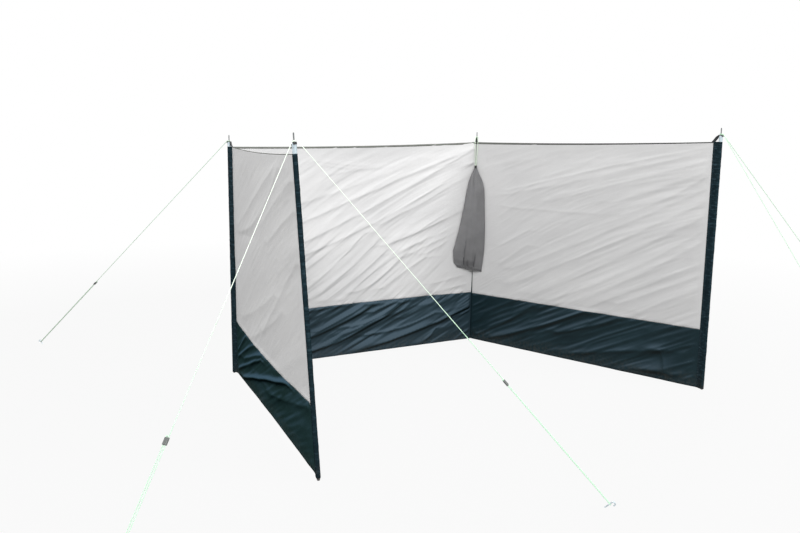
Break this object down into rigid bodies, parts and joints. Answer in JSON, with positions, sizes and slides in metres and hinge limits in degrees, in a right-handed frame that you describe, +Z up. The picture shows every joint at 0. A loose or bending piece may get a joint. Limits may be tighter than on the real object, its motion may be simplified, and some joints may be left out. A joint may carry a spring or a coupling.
{
  "type": "beach windbreak",
  "caption": "Free-standing fabric windbreak in an open U, sewn to steel poles, with a dark mud band, taut guy lines, ground pegs and a hanging storage bag.",
  "frame": {"origin": "On the ground at the foot of the left corner pole, as seen from the open side.", "axes": "+X runs along the back panel from the left corner pole to the right corner pole, +Y points away from the sheltered side, and +Z is up."},
  "size_m": [4.4849, 4.2262, 1.4376],
  "materials": {
    "galvanised_steel": "satin zinc",
    "grey_plastic": "matte",
    "pale_cloth": "woven polyester, soft sheen",
    "navy_cloth": "coated polyester, sheen",
    "binding_tape": "matte",
    "black_webbing": "matte ribbed",
    "lime_cord": "braided",
    "black_plastic": "satin",
    "bag_cloth": "woven polyester, matte"
  },
  "bodies": {
    "root": {"back_cloth": "pale_cloth", "back_mud_band": "navy_cloth", "back_top_binding": "binding_tape", "bag_cord_lock": "black_plastic", "bag_drawstring": "lime_cord", "left_cloth": "pale_cloth", "left_corner_foot": "grey_plastic", "left_corner_guy_line": "lime_cord", "left_corner_peg": "galvanised_steel", "left_corner_pin": "galvanised_steel", "left_corner_runner": "black_plastic", "left_corner_sleeve": "navy_cloth", "left_corner_strap": "black_webbing", "left_corner_tube": "galvanised_steel", "left_end_foot": "grey_plastic", "left_end_guy_lines": "lime_cord", "left_end_pegs": "galvanised_steel", "left_end_pin": "galvanised_steel", "left_end_runners": "black_plastic", "left_end_sleeve": "navy_cloth", "left_end_strap": "black_webbing", "left_end_tube": "galvanised_steel", "left_mud_band": "navy_cloth", "left_top_binding": "binding_tape", "right_cloth": "pale_cloth", "right_corner_foot": "grey_plastic", "right_corner_guy_line": "lime_cord", "right_corner_peg": "galvanised_steel", "right_corner_pin": "galvanised_steel", "right_corner_runner": "black_plastic", "right_corner_sleeve": "navy_cloth", "right_corner_strap": "black_webbing", "right_corner_tube": "galvanised_steel", "right_end_foot": "grey_plastic", "right_end_guy_lines": "lime_cord", "right_end_pegs": "galvanised_steel", "right_end_pin": "galvanised_steel", "right_end_runners": "black_plastic", "right_end_sleeve": "navy_cloth", "right_end_strap": "black_webbing", "right_end_tube": "galvanised_steel", "right_mud_band": "navy_cloth", "right_top_binding": "binding_tape", "storage_bag": "bag_cloth"}
  },
  "joints": []
}
